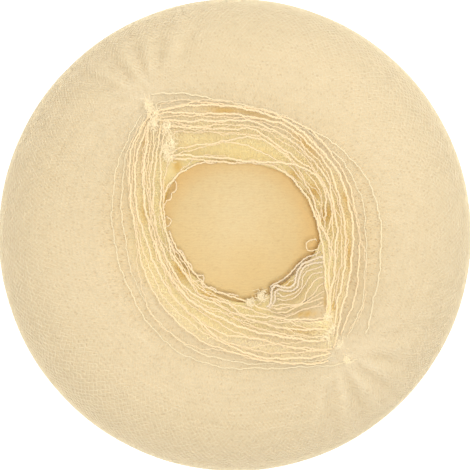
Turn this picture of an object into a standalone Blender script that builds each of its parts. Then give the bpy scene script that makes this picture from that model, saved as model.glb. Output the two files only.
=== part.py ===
"""Wig cap of fine knitted net, stretched round and standing on its flattened crown.

The cap is a hollow pouch. Its mouth is open at the top, where nine elastic hem strands
ring it in nested loops. Each loop is lens shaped: its two corners lie at the two side
gathers of the cap, where small thread tufts tie the strands down on the net.
Metres, +Z up, origin at the middle of the flat crown that the cap stands on.
"""

import math

import bmesh
import bpy
from mathutils import Vector

# Driving sizes of the cap, each one set here alone.
CAP_RADIUS = 0.092
COLLAR_HEIGHT = 0.092
WIDEST_HEIGHT = 0.044
CROWN_FLAT_RADIUS = 0.045
NET_THICKNESS = 0.0012
MOUTH_RADIUS = 0.0285
MOUTH_OFFSET_X = 0.0033
MOUTH_OFFSET_Y = 0.0010
MOUTH_DIP = 0.0032
HEM_THICKNESS = 0.0008
TUFT_LENGTH = 0.0048
TUFT_WIDTH = 0.0034
TUFT_HEIGHT = 0.0022
CREASE_DEPTH = 0.0018
CREASE_REACH = 0.045
CLEARANCE = 0.0003

# How round the side and the shoulder are: 2 is a true quarter ellipse, more is squarer.
SIDE_SQUARENESS = 2.1
SHOULDER_SQUARENESS = 2.4

# Share of the collar's width, from the mouth out, at which the net is highest.
CREST_SHARE = 0.28

# The two side gathers: bearing of the innermost loop's corner, in degrees anticlockwise
# from +X, and how far round the outermost loop's corner has drifted from it.
GATHER_BEARINGS = {"gather_a": 135.0, "gather_b": -44.0}
GATHER_DRIFTS = {"gather_a": -11.0, "gather_b": -8.0}

# Fineness of the meshes. The net's columns crowd together towards the gathers.
NET_COLUMNS = 80
COLUMN_CROWDING = 0.5
SIDE_ROWS = 6
COLLAR_ROWS = 9
COLLAR_ROW_SPREAD = 0.8
HEM_STEPS = 6
HEM_BEVEL_RESOLUTION = 1
TUFT_SUBDIVISIONS = 2

# Outline of the mouth: bearing in degrees, reach as a share of MOUTH_RADIUS.
MOUTH_OUTLINE = (
    (0.0, 1.05),
    (45.0, 0.98),
    (90.0, 0.95),
    (135.0, 1.17),
    (180.0, 1.06),
    (225.0, 0.89),
    (270.0, 0.95),
    (315.0, 0.88),
)

# Bearings between the gathers at which the hem table gives each loop.
HEM_BEARINGS = {
    "top": 90.0,
    "top_right": 45.0,
    "right": 0.0,
    "bottom": -90.0,
    "bottom_left": -135.0,
    "left": 180.0,
}

# Hem loops from the innermost out. Each column is how far out on the collar's free
# width the loop lies at that bearing, as a share: 0 is at the mouth, 1 at the outline.
HEM_COLUMNS = ("gather_a", "top", "top_right", "right", "gather_b", "bottom", "bottom_left", "left")
HEM_LOOPS = (
    (0.130, 0.041, 0.024, 0.009, 0.264, 0.032, 0.024, 0.011),
    (0.177, 0.093, 0.044, 0.010, 0.306, 0.061, 0.051, 0.020),
    (0.224, 0.130, 0.076, 0.020, 0.340, 0.098, 0.079, 0.024),
    (0.262, 0.161, 0.101, 0.037, 0.374, 0.127, 0.099, 0.032),
    (0.300, 0.184, 0.125, 0.055, 0.400, 0.156, 0.120, 0.045),
    (0.329, 0.200, 0.149, 0.081, 0.426, 0.186, 0.148, 0.068),
    (0.358, 0.215, 0.174, 0.122, 0.453, 0.215, 0.175, 0.090),
    (0.387, 0.231, 0.206, 0.188, 0.479, 0.251, 0.209, 0.120),
    (0.424, 0.254, 0.261, 0.286, 0.513, 0.301, 0.263, 0.171),
)

# At a gather the strands of a loop meet at an angle, so the loops need this much more
# room there than a strand's own thickness.
GATHER_ROOM = 1.7

# How much of a loop's corner is rounded off, as a share of the way to its neighbours.
CORNER_ROUNDING = 0.35

# Thread tufts: the gather and the number of the hem loop whose corner each ties down,
# and the bearing of its long side in degrees.
TUFT_COLUMNS = ("gather", "hem_loop", "bearing")
TUFTS = (
    ("gather_a", 2, 100.0),
    ("gather_a", 5, 80.0),
    ("gather_a", 7, 112.0),
    ("gather_b", 4, 95.0),
    ("gather_b", 6, 80.0),
    ("gather_b", 8, 105.0),
)

# Creases that fan out from each gather over the collar's shoulder. They start outside
# the loops, so that the hem strands lie on smooth net.
CREASES_IN_FAN = 7
CREASE_FAN_HALF_ANGLE = 85.0
CREASE_ROOT_SHARE = 0.45
CREASE_START_SHARE = 0.62

MOUTH_CENTRE = Vector((MOUTH_OFFSET_X, MOUTH_OFFSET_Y))

NET_COLOUR = (0.86, 0.70, 0.44, 1.0)
HEM_COLOUR = (0.95, 0.83, 0.58, 1.0)
TUFT_COLOUR = (0.94, 0.85, 0.66, 1.0)


def clear_scene():
    """Start from an empty scene."""
    for old in list(bpy.data.objects):
        bpy.data.objects.remove(old, do_unlink=True)


def cloth_material(name, colour, roughness):
    """A matt textile with the piece's own colour."""
    material = bpy.data.materials.new(name)
    material.use_nodes = True
    shader = material.node_tree.nodes["Principled BSDF"]
    shader.inputs["Base Color"].default_value = colour
    shader.inputs["Roughness"].default_value = roughness
    shader.inputs["Metallic"].default_value = 0.0
    return material


def add_object(name, data, material):
    """Link a piece into the scene with its own material."""
    piece = bpy.data.objects.new(name, data)
    piece.data.materials.append(material)
    bpy.context.scene.collection.objects.link(piece)
    return piece


def toward(bearing):
    """Unit vector in the ground plane at a bearing in degrees."""
    angle = math.radians(bearing)
    return Vector((math.cos(angle), math.sin(angle)))


def smooth_between(before, start, end, after, share):
    """Smooth curve value between start and end, led by their neighbours."""
    step = end - start
    lead_in = (end - before) * 0.5
    lead_out = (after - start) * 0.5
    square = share * share
    cube = square * share
    return (
        start
        + lead_in * share
        + (step * 3.0 - lead_in * 2.0 - lead_out) * square
        + (lead_in + lead_out - step * 2.0) * cube
    )


def mouth_reach(bearing):
    """Distance from the mouth's centre to its edge, smooth through MOUTH_OUTLINE."""
    count = len(MOUTH_OUTLINE)
    place = (bearing % 360.0) * count / 360.0
    index = int(place)
    shares = [MOUTH_OUTLINE[(index + offset) % count][1] for offset in (-1, 0, 1, 2)]
    return MOUTH_RADIUS * smooth_between(*shares, place - index)


def outline_reach(bearing):
    """Distance from the mouth's centre to the cap's round outline."""
    along = MOUTH_CENTRE.dot(toward(bearing))
    spare = CAP_RADIUS ** 2 - MOUTH_CENTRE.length_squared
    return math.sqrt(along ** 2 + spare) - along


def collar_point(bearing, share):
    """Point in plan on the collar: share 0 is the mouth's edge, 1 the outline."""
    inner = mouth_reach(bearing)
    outer = outline_reach(bearing)
    return MOUTH_CENTRE + toward(bearing) * (inner + (outer - inner) * share)


def collar_share(point):
    """The collar share at a point in plan."""
    arm = point - MOUTH_CENTRE
    bearing = math.degrees(math.atan2(arm.y, arm.x))
    inner = mouth_reach(bearing)
    return (arm.length - inner) / (outline_reach(bearing) - inner)


def collar_height(share):
    """Height of the net's outer face on the collar, without its creases."""
    if share <= CREST_SHARE:
        fall = (CREST_SHARE - share) / CREST_SHARE
        return COLLAR_HEIGHT - MOUTH_DIP * fall ** 2
    out = min(1.0, (share - CREST_SHARE) / (1.0 - CREST_SHARE))
    rise = (1.0 - out ** SHOULDER_SQUARENESS) ** (1.0 / SHOULDER_SQUARENESS)
    return WIDEST_HEIGHT + (COLLAR_HEIGHT - WIDEST_HEIGHT) * rise


def crease_height(point, share):
    """Height that the fans of creases add to the collar at a point in plan."""
    if share <= CREASE_START_SHARE or share >= 1.0:
        return 0.0
    fade = math.sin(math.pi * (share - CREASE_START_SHARE) / (1.0 - CREASE_START_SHARE))
    limit = math.radians(CREASE_FAN_HALF_ANGLE)
    height = 0.0
    for gather, bearing in GATHER_BEARINGS.items():
        bearing += GATHER_DRIFTS[gather]
        arm = point - collar_point(bearing, CREASE_ROOT_SHARE)
        side = toward(bearing).angle_signed(arm)
        if abs(side) >= limit:
            continue
        wave = math.cos(math.pi * CREASES_IN_FAN * side / limit)
        edge = math.cos(0.5 * math.pi * side / limit)
        height += CREASE_DEPTH * wave * edge * math.exp(-((arm.length / CREASE_REACH) ** 2))
    return height * fade


def side_ring(share):
    """Radius and height of the lower side: share 0 is the flat crown, 1 the widest ring."""
    angle = 0.5 * math.pi * (1.0 - share)
    power = 2.0 / SIDE_SQUARENESS
    radius = CROWN_FLAT_RADIUS + (CAP_RADIUS - CROWN_FLAT_RADIUS) * math.cos(angle) ** power
    height = WIDEST_HEIGHT * (1.0 - math.sin(angle) ** power)
    return radius, height


def column_bearings():
    """Bearings of the net's columns, closer together towards the two gathers."""
    axis = math.radians(sum(GATHER_BEARINGS.values()) * 0.5 + 90.0)
    bearings = []
    for column in range(NET_COLUMNS):
        turn = math.tau * column / NET_COLUMNS
        crowded = turn - 0.5 * COLUMN_CROWDING * math.sin(2.0 * (turn - axis))
        bearings.append(math.degrees(crowded))
    return bearings


def net_rings():
    """Rings of points from the flat crown out, up the side and in to the mouth."""
    bearings = column_bearings()
    outward = [collar_point(bearing, 1.0).normalized() for bearing in bearings]
    for row in range(SIDE_ROWS + 1):
        radius, height = side_ring(row / SIDE_ROWS)
        yield [Vector((way.x * radius, way.y * radius, height)) for way in outward]
    for row in range(1, COLLAR_ROWS + 1):
        share = max(0.0, math.cos(0.5 * math.pi * row / COLLAR_ROWS)) ** COLLAR_ROW_SPREAD
        ring = []
        for bearing in bearings:
            plan = collar_point(bearing, share)
            height = collar_height(share) + crease_height(plan, share)
            ring.append(Vector((plan.x, plan.y, height)))
        yield ring


def next_ring(shape, ring, places):
    """Extrude the sheet's border and move it to the next ring of points, in order."""
    border = [edge for edge in shape.edges if edge.is_boundary]
    grown = bmesh.ops.extrude_edge_only(shape, edges=border)["geom"]
    fresh = {item for item in grown if isinstance(item, bmesh.types.BMVert)}
    moved = []
    for root, place in zip(ring, places):
        vert = next(edge.other_vert(root) for edge in root.link_edges if edge.other_vert(root) in fresh)
        vert.co = place
        moved.append(vert)
    return moved


def build_net_body(material):
    """The knitted pouch: one sheet from crown to mouth, thickened inwards."""
    shape = bmesh.new()
    first, *others = net_rings()
    ring = [shape.verts.new(place) for place in first]
    crown = shape.faces.new(reversed(ring))
    for places in others:
        ring = next_ring(shape, ring, places)
    bmesh.ops.recalc_face_normals(shape, faces=shape.faces)
    if crown.normal.z > 0.0:
        bmesh.ops.reverse_faces(shape, faces=shape.faces)
    mesh = bpy.data.meshes.new("net_body")
    shape.to_mesh(mesh)
    shape.free()
    mesh.shade_smooth()
    body = add_object("net_body", mesh, material)
    wall = body.modifiers.new("net_wall", "SOLIDIFY")
    wall.thickness = NET_THICKNESS
    wall.offset = -1.0
    wall.use_even_offset = True
    return body


def hem_point(loop, column):
    """Point in plan of a hem loop at one of the table's bearings."""
    room = HEM_THICKNESS + CLEARANCE
    if column in GATHER_BEARINGS:
        bearing = GATHER_BEARINGS[column] + GATHER_DRIFTS[column] * loop / (len(HEM_LOOPS) - 1)
        room *= GATHER_ROOM
    else:
        bearing = HEM_BEARINGS[column]
    inner = mouth_reach(bearing)
    free = outline_reach(bearing) - inner - room * len(HEM_LOOPS)
    share = HEM_LOOPS[loop][HEM_COLUMNS.index(column)]
    return MOUTH_CENTRE + toward(bearing) * (inner + room * (loop + 0.5) + free * share)


def hem_arc(loop, columns):
    """Smooth arc in plan through the named columns, without its last point."""
    knots = [hem_point(loop, column) for column in columns]
    line = [knots[0] * 2.0 - knots[1], *knots, knots[-1] * 2.0 - knots[-2]]
    points = []
    for index in range(1, len(knots)):
        for step in range(HEM_STEPS):
            points.append(smooth_between(*line[index - 1:index + 3], step / HEM_STEPS))
    return points


def hem_plan(loop):
    """Closed outline of a hem loop in plan, with its two corners slightly rounded."""
    points = hem_arc(loop, HEM_COLUMNS[:5]) + hem_arc(loop, HEM_COLUMNS[4:] + HEM_COLUMNS[:1])
    for corner in (0, len(points) // 2):
        middle = (points[corner - 1] + points[corner + 1]) * 0.5
        points[corner] = points[corner].lerp(middle, CORNER_ROUNDING)
    return points


def hem_height(point):
    """Height of a hem strand's middle line over the collar."""
    return collar_height(collar_share(point)) + CLEARANCE + 0.5 * HEM_THICKNESS


def build_hem_strand(loop, material):
    """One elastic strand of the hem: a closed loop lying on the collar."""
    plan = hem_plan(loop)
    curve = bpy.data.curves.new(f"hem_strand_{loop + 1}", "CURVE")
    curve.dimensions = "3D"
    curve.bevel_depth = 0.5 * HEM_THICKNESS
    curve.bevel_resolution = HEM_BEVEL_RESOLUTION
    curve.render_resolution_u = 0
    line = curve.splines.new("POLY")
    line.points.add(len(plan) - 1)
    for point, place in zip(line.points, plan):
        point.co = (place.x, place.y, hem_height(place), 1.0)
    line.use_cyclic_u = True
    return add_object(curve.name, curve, material)


def build_tuft(number, row, material):
    """A small flattened tuft of thread, laid on a loop's corner along the net's slope."""
    tie = dict(zip(TUFT_COLUMNS, row))
    place = hem_point(tie["hem_loop"] - 1, tie["gather"])
    reach = 0.5 * TUFT_LENGTH
    east, west, north, south = [
        hem_height(place + toward(quarter) * reach) for quarter in (0.0, 180.0, 90.0, 270.0)
    ]
    slope = Vector((west - east, south - north, 2.0 * reach)).normalized()
    shape = bmesh.new()
    bmesh.ops.create_icosphere(shape, subdivisions=TUFT_SUBDIVISIONS, radius=0.5)
    bmesh.ops.scale(shape, vec=(TUFT_LENGTH, TUFT_WIDTH, TUFT_HEIGHT), verts=shape.verts)
    mesh = bpy.data.meshes.new(f"thread_tuft_{number}")
    shape.to_mesh(mesh)
    shape.free()
    mesh.shade_smooth()
    tuft = add_object(mesh.name, mesh, material)
    lift = 0.5 * HEM_THICKNESS + CLEARANCE + 0.5 * TUFT_HEIGHT
    tuft.location = Vector((place.x, place.y, hem_height(place))) + slope * lift
    lean = Vector((0.0, 0.0, 1.0)).rotation_difference(slope)
    tuft.rotation_mode = "QUATERNION"
    turn = Vector((1.0, 0.0, 0.0)).rotation_difference(toward(tie["bearing"]).to_3d())
    tuft.rotation_quaternion = lean @ turn
    return tuft


def main():
    """Build the whole cap."""
    clear_scene()
    build_net_body(cloth_material("knitted_net", NET_COLOUR, 0.75))
    for loop in range(len(HEM_LOOPS)):
        build_hem_strand(loop, cloth_material(f"hem_elastic_{loop + 1}", HEM_COLOUR, 0.6))
    for number, row in enumerate(TUFTS, start=1):
        build_tuft(number, row, cloth_material(f"tuft_thread_{number}", TUFT_COLOUR, 0.8))


main()
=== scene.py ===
"""Wig cap of fine knitted net: its knit, its elastic hem strands and its finish.

The cap is a hollow pouch that stands on its flattened crown with its mouth up. The knit
is made of real threads over a translucent cloth, the hem strands are twisted two-ply
yarn, and fine loose net edges ruffle inside the mouth.
Metres, +Z up, bearings in degrees anticlockwise from +X about the mouth's middle.
"""

import math

import bmesh
import bpy
import numpy as np
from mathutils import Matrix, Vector


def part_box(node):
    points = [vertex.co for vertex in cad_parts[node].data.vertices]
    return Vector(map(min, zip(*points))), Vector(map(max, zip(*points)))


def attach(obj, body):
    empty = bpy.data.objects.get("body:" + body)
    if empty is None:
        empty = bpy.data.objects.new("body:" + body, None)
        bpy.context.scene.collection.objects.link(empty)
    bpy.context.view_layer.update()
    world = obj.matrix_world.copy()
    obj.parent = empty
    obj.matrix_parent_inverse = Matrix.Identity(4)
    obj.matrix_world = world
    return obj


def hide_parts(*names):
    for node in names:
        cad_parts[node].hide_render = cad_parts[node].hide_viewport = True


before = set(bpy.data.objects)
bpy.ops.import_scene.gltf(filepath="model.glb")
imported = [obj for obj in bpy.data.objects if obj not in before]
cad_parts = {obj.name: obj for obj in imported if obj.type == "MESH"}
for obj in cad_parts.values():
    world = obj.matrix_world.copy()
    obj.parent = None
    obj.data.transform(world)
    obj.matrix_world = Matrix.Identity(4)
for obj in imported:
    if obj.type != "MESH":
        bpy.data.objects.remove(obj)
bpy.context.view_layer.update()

# Sizes shared with the cap's solids.
CAP_RADIUS = 0.092
COLLAR_HEIGHT = 0.092
WIDEST_HEIGHT = 0.044
CROWN_FLAT_RADIUS = 0.045
NET_THICKNESS = 0.0012
MOUTH_RADIUS = 0.0285
MOUTH_OFFSET_X = 0.0033
MOUTH_OFFSET_Y = 0.0010
MOUTH_DIP = 0.0032
SIDE_SQUARENESS = 2.1
SHOULDER_SQUARENESS = 2.4
CREST_SHARE = 0.28
GATHER_BEARINGS = {"gather_a": 135.0, "gather_b": -44.0}
GATHER_DRIFTS = {"gather_a": -11.0, "gather_b": -8.0}
NET_CROWDING = 0.25
COLLAR_ROW_SPREAD = 0.8
CREASE_DEPTH = 0.0018
CREASE_REACH = 0.045
CREASES_IN_FAN = 7
CREASE_FAN_HALF_ANGLE = 85.0
CREASE_ROOT_SHARE = 0.45
CREASE_START_SHARE = 0.62
MOUTH_OUTLINE = (1.05, 0.98, 0.95, 1.17, 1.06, 0.89, 0.95, 0.88)

# The knit: stitches round the cap, height of a course, and the thread.
WALES = 300
COURSE_PITCH = 0.0015
NET_THREAD_RADIUS = 0.00013
NET_THREAD_LIFT = 0.00022
MOUTH_WALES = 190
CLOTH_COLUMNS = 300
CLOTH_ROW_PITCH = 0.0016
LINING_ROW_PITCH = 0.0045

# How far the cloth sags below the strands at the mouth.
MOUTH_SAG = 0.0010

# Twisted two-ply yarn of the hem: step along it, its twist, and its plies' arm and radius as
# shares of its thickness. The ends of a strand come down to this height over the net.
YARN_STEP = 0.0007
YARN_TWIST_PITCH = 0.0026
PLY_ARM_SHARE = 0.24
PLY_RADIUS_SHARE = 0.29
THIN_PLY_RADIUS_SHARE = 0.27
STRAND_END_LIFT = 0.0006

# How far yarns bend aside: long strands, loose ones, and the threads of a frill.
STRAND_CRINKLE = 0.00016
LOOSE_CRINKLE = 0.00022
FRILL_CRINKLE = 0.00014

# The crinkle's waves: their length and their share of the bend.
CRINKLE_WAVES = ((0.0019, 0.45), (0.0031, 0.6), (0.0052, 0.7), (0.0093, 1.0), (0.021, 1.4))

# The fine lattice between a frill's threads: how far it reaches, its stitches and its thread.
LATTICE_REACH = 0.0028
LATTICE_STITCHES = 52
LATTICE_THREAD_RADIUS = 0.00012

# Colours of a frill's dark and light fibre: of a cream thread, and of a whitish one.
CREAM_FIBRE = np.array([(0.73, 0.55, 0.29), (0.74, 0.56, 0.315)])
WHITISH_FIBRE = np.array([(0.66, 0.525, 0.345), (0.665, 0.54, 0.375)])

# Hem strands, in millimetres. Each passes the mouth's middle at these distances, at even
# bearings from its first to its last.
STRAND_COLUMNS = ("name", "loop", "lift", "diameter", "from_bearing", "to_bearing", "reaches")
STRANDS = (
    ("upper_9", 9, 0.2, 0.75, 123, -39, (63.7, 57.2, 52.1, 48.8, 48.0, 47.1, 47.1, 48.2, 50.0, 51.3, 52.5,
     52.6, 53.2, 54.4, 56.6, 60.5)),
    ("upper_9_thin", 9, 0.4, 0.60, 123, -44, (59.3, 54.8, 51.1, 48.6, 47.1, 46.2, 45.8, 46.1, 46.8, 47.2,
     47.1, 46.9, 47.7, 50.0, 53.7, 56.3)),
    ("lower_9", 9, 0.1, 0.62, 132, 311, (59.3, 56.8, 54.3, 52.0, 50.4, 49.5, 49.0, 49.3, 50.2, 51.6, 52.4,
     52.5, 52.3, 52.6, 54.6, 59.1, 65.4)),
    ("lower_9_thin", 9, 0.2, 0.58, 132, 305, (57.9, 55.0, 51.5, 48.7, 46.5, 45.4, 45.4, 45.9, 46.7, 47.5,
     48.5, 49.1, 49.6, 50.3, 51.5, 54.4, 58.8)),
    ("upper_8", 8, 1.3, 1.21, 125, -50, (56.9, 53.1, 50.5, 47.7, 46.6, 45.8, 44.4, 43.6, 43.0, 42.7, 42.1,
     41.8, 42.2, 43.3, 44.9, 48.2, 54.6)),
    ("upper_8_thin", 8, 0.8, 0.92, 122, -46, (56.1, 53.3, 50.1, 47.5, 47.4, 47.0, 46.6, 45.7, 44.7, 44.2,
     43.9, 44.2, 45.4, 47.9, 50.3, 54.0)),
    ("lower_8", 8, 0.9, 0.92, 128, 302, (58.1, 55.3, 50.8, 46.1, 42.8, 41.2, 40.6, 41.0, 41.8, 41.9, 43.3,
     44.5, 45.3, 47.2, 49.8, 54.2, 58.7)),
    ("upper_7", 7, 1.2, 1.09, 125, -47, (55.6, 50.2, 46.7, 45.1, 44.3, 44.0, 43.3, 42.1, 41.0, 39.9, 39.1,
     38.6, 39.3, 40.4, 41.8, 44.6, 50.9)),
    ("upper_7_thin", 7, 0.8, 0.69, 125, -37, (54.4, 48.7, 45.8, 43.9, 43.2, 42.3, 41.2, 40.0, 39.5, 38.7,
     38.0, 37.6, 37.9, 38.8, 40.5, 44.0)),
    ("lower_7", 7, 1.2, 1.15, 128, 304, (56.7, 52.6, 48.0, 44.1, 40.4, 38.0, 36.4, 36.0, 36.5, 36.6, 37.4,
     39.4, 43.0, 46.4, 49.3, 52.6, 56.5)),
    ("lower_7_thin", 7, 0.7, 0.69, 130, 304, (57.3, 53.3, 48.6, 44.5, 41.5, 39.6, 38.7, 38.7, 39.3, 39.5,
     40.3, 41.4, 43.0, 44.5, 47.1, 50.4, 54.3)),
    ("upper_6", 6, 1.3, 1.09, 127, -44, (54.1, 46.9, 44.1, 43.1, 42.2, 40.4, 39.0, 38.6, 38.0, 37.2, 35.8,
     35.8, 35.8, 37.5, 39.7, 45.7)),
    ("upper_6_thin", 6, 0.8, 0.69, 125, -44, (51.5, 44.2, 42.1, 41.5, 40.3, 38.3, 37.8, 36.7, 36.1, 35.4,
     35.1, 34.3, 34.1, 35.6, 38.8, 44.9)),
    ("lower_6", 6, 1.6, 1.26, 129, 307, (56.6, 48.7, 43.8, 40.2, 36.5, 35.1, 33.7, 32.6, 33.0, 33.2, 33.0,
     33.7, 35.3, 37.2, 40.8, 44.9, 52.5)),
    ("lower_6_thin", 6, 1.0, 0.75, 129, 306, (54.7, 47.4, 42.2, 38.4, 35.4, 34.0, 33.5, 33.2, 33.9, 34.1,
     34.4, 35.5, 37.5, 40.0, 43.2, 48.6, 55.4)),
    ("lower_6_short", 6, 0.8, 0.86, 247, 305, (38.5, 39.7, 40.0, 42.7, 48.2, 55.8)),
    ("upper_5", 5, 1.2, 0.98, 127, -1, (50.8, 44.5, 41.4, 39.8, 39.8, 37.0, 35.4, 34.3, 35.9, 36.0, 35.6,
     34.2, 32.4)),
    ("upper_5_thin", 5, 0.8, 0.69, 125, 10, (47.4, 41.6, 39.2, 38.1, 37.6, 35.5, 33.7, 33.2, 33.4, 32.6,
     30.1)),
    ("lower_5", 5, 1.4, 1.09, 128, 309, (51.9, 43.6, 39.6, 36.8, 34.0, 32.6, 31.6, 30.8, 30.7, 30.9, 29.9,
     29.4, 31.2, 33.7, 37.2, 41.6, 48.1)),
    ("lower_5_thin", 5, 0.9, 0.75, 128, 308, (54.2, 45.8, 41.1, 37.6, 35.2, 33.6, 32.3, 31.6, 31.8, 32.0,
     31.6, 31.4, 33.1, 36.0, 39.7, 44.0, 51.2)),
    ("upper_4", 4, 1.5, 0.86, 133, -16, (42.1, 38.8, 36.6, 35.9, 36.3, 36.6, 35.1, 33.3, 31.5, 30.4, 30.1,
     29.3, 29.7, 33.0, 36.4)),
    ("upper_4_thin", 4, 1.0, 0.69, 131, 57, (39.2, 37.0, 36.0, 35.0, 33.4, 32.0, 30.5, 31.2)),
    ("lower_4", 4, 1.3, 1.03, 128, 313, (49.8, 41.9, 36.7, 33.5, 31.6, 29.5, 28.7, 28.2, 27.5, 28.3, 29.3,
     28.0, 28.1, 31.4, 33.2, 34.6, 39.5, 45.2)),
    ("lower_4_thin", 4, 0.8, 0.75, 135, 312, (40.8, 36.6, 33.4, 31.4, 29.5, 28.3, 27.6, 26.9, 27.2, 27.7,
     26.9, 26.8, 28.6, 30.7, 34.6, 40.1, 45.6)),
    ("lower_4_short", 4, 0.8, 0.69, 268, 308, (33.5, 34.7, 36.4, 38.9, 48.2)),
    ("upper_3", 3, 1.9, 1.09, 134, 11, (40.8, 35.1, 30.8, 28.5, 27.5, 27.8, 28.9, 31.8, 34.8, 35.5, 34.2,
     32.1)),
    ("upper_3_thin", 3, 1.4, 1.09, 133, -43, (38.9, 32.5, 29.1, 27.4, 26.7, 27.0, 27.8, 28.4, 27.8, 27.5,
     28.0, 28.5, 29.3, 30.5, 33.2, 37.2, 43.6)),
    ("upper_3_short", 3, 1.0, 0.75, 58, -41, (31.5, 30.6, 30.0, 29.6, 28.9, 30.1, 33.0, 34.6, 37.9, 43.3)),
    ("upper_2", 2, 1.2, 0.92, 160, 112, (33.2, 34.5, 33.1, 31.7, 29.3)),
    ("lower_2", 2, 0.7, 0.86, 180, 318, (28.9, 26.8, 25.1, 24.3, 24.7, 25.3, 25.2, 24.6, 25.1, 27.8, 30.8,
     35.3, 37.7, 40.5)),
)

# Thin strands that wander between two neighbours: names, thickness in millimetres, and
# how many times they go over and back.
WANDERING_STRANDS = (
    ("upper_8", "upper_9_thin", 0.45, 1.3),
    ("upper_7", "upper_6_thin", 0.45, 2.1),
    ("upper_6", "upper_5", 0.50, 1.6),
    ("upper_5_thin", "upper_4", 0.45, 1.2),
    ("lower_8", "lower_9_thin", 0.45, 1.7),
    ("lower_7", "lower_6", 0.50, 1.2),
    ("lower_6", "lower_5", 0.50, 1.9),
    ("lower_5_thin", "lower_4", 0.50, 1.3),
)

# Threads of the loose net edges inside the mouth, in millimetres: their points' places east
# and north of its middle. Each frill's threads follow one another from its free edge inwards.
FRILL_COLUMNS = ("name", "diameter", "lift", "whiteness", "east", "north")
FRILL_THREADS = (
    ("bounding", 0.85, 0.1, 0.9,
     (29.6, 26.4, 23.7, 21.4, 19.5, 17.9, 16.1, 14.3, 12.4, 10.2),
     (-7.4, -8.6, -10.1, -11.9, -14.3, -16.2, -17.6, -18.4, -19.4, -21.1)),
    ("fold_1", 1.25, 1.0, 1.0,
     (30.7, 26.9, 24.2, 21.9, 20.4, 20.0, 19.6, 18.0, 15.4, 13.0, 11.1, 10.5, 10.4, 8.8),
     (-9.7, -10.4, -11.6, -13.1, -15.0, -17.3, -19.7, -21.2, -21.2, -20.8, -22.0, -24.7, -27.3, -28.5)),
    ("fold_2", 1.05, 1.1, 1.0,
     (30.4, 26.9, 24.2, 22.3, 21.3, 21.1, 20.4, 18.0, 15.4, 12.7, 11.9, 11.5, 9.6),
     (-11.6, -12.0, -13.1, -14.7, -16.6, -18.9, -21.2, -22.7, -22.5, -22.5, -24.7, -27.3, -29.3)),
    ("fold_3", 0.75, 1.3, 0.7,
     (30.4, 26.9, 24.2, 22.7, 22.3, 21.1, 18.4, 15.7, 13.8, 12.9),
     (-13.5, -14.1, -15.2, -17.3, -19.7, -22.2, -24.1, -24.8, -23.9, -23.1)),
    ("fold_4", 0.70, 1.3, 0.6,
     (30.4, 27.7, 25.4, 23.8, 22.3, 19.6, 16.1, 12.7),
     (-15.4, -16.0, -17.3, -19.7, -22.3, -24.8, -25.8, -25.8)),
    ("fan_1", 0.80, 1.7, 0.4,
     (30.7, 27.7, 25.5, 24.2, 23.4, 21.5, 18.0, 14.2, 10.4),
     (-17.3, -18.5, -20.8, -23.1, -25.4, -27.3, -27.9, -27.9, -28.5)),
    ("fan_2", 0.65, 1.5, 0.4,
     (30.7, 28.8, 26.9, 25.4, 23.0, 20.4, 16.9, 11.9),
     (-19.7, -20.8, -23.1, -25.0, -26.8, -28.1, -29.3, -29.7)),
    ("fan_3", 0.70, 1.7, 0.3,
     (30.7, 28.0, 25.4, 22.3, 18.8, 14.2, 9.6),
     (-22.3, -24.1, -26.0, -27.5, -28.7, -28.9, -28.9)),
    ("fan_4", 0.75, 1.8, 0.3,
     (30.7, 27.3, 23.8, 20.7, 17.3, 12.7),
     (-25.0, -26.0, -27.2, -28.7, -30.2, -30.6)),
    ("fan_5", 0.60, 1.5, 0.3,
     (30.7, 26.5, 22.3, 18.8, 14.2, 9.6),
     (-27.7, -28.9, -30.0, -31.4, -33.1, -33.9)),
    ("corner", 0.70, 0.5, 0.4,
     (-27.3, -26.2, -25.8, -26.4, -27.7, -28.1, -29.6, -30.2, -30.8),
     (20.7, 19.6, 17.7, 16.1, 15.2, 12.7, 12.1, 10.0, 8.0)),
    ("left_1", 0.80, 0.4, 0.6,
     (-29.3, -27.7, -26.2, -24.3, -23.1, -21.6, -20.0, -19.6, -17.7, -15.8, -15.0, -15.8, -14.3, -12.0,
      -10.0, -7.7, -4.3, -2.0),
     (-0.8, -3.5, -7.0, -7.2, -9.3, -11.6, -12.7, -15.0, -16.6, -16.2, -17.7, -20.0, -21.4, -21.6, -23.1,
      -23.7, -23.7, -24.7)),
    ("left_2", 0.70, 0.7, 0.5,
     (-28.5, -27.7, -25.4, -23.9, -22.0, -20.8, -20.4, -18.5, -17.0, -15.8),
     (-4.3, -7.3, -7.9, -10.0, -12.7, -15.4, -18.1, -18.9, -18.9, -21.2)),
)

# Balls of loose fluff on the mouth's edge: bearing, distance and radius in millimetres.
FLUFF_COLUMNS = ("bearing", "reach", "radius")
FLUFF = (
    (-74.5, 25.6, 2.3),
    (-84.5, 27.0, 1.7),
)

# Pale loose fibres over the gathers: millimetres east and north of the mouth's middle, and
# how far each patch reaches northwards and eastwards.
PATCH_COLUMNS = ("east", "north", "along", "across")
GATHER_FLUFF = (
    (-29.6, 40.7, 2.4, 1.7),
    (-28.1, 35.0, 3.2, 2.0),
    (-28.5, 30.0, 2.6, 1.4),
    (-34.6, 46.1, 2.4, 2.2),
    (32.3, -32.4, 1.6, 1.5),
    (31.9, -40.0, 2.2, 1.2),
)

# Loose curls that stand into the mouth: middle, size and the part of a turn they make.
CURL_COLUMNS = ("bearing", "reach", "radius", "from_turn", "to_turn", "lift")
CURLS = (
    (-10.0, 27.2, 2.3, 50.0, 320.0, 1.2),
    (172.0, 30.6, 2.4, -75.0, 80.0, 1.0),
)

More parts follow.
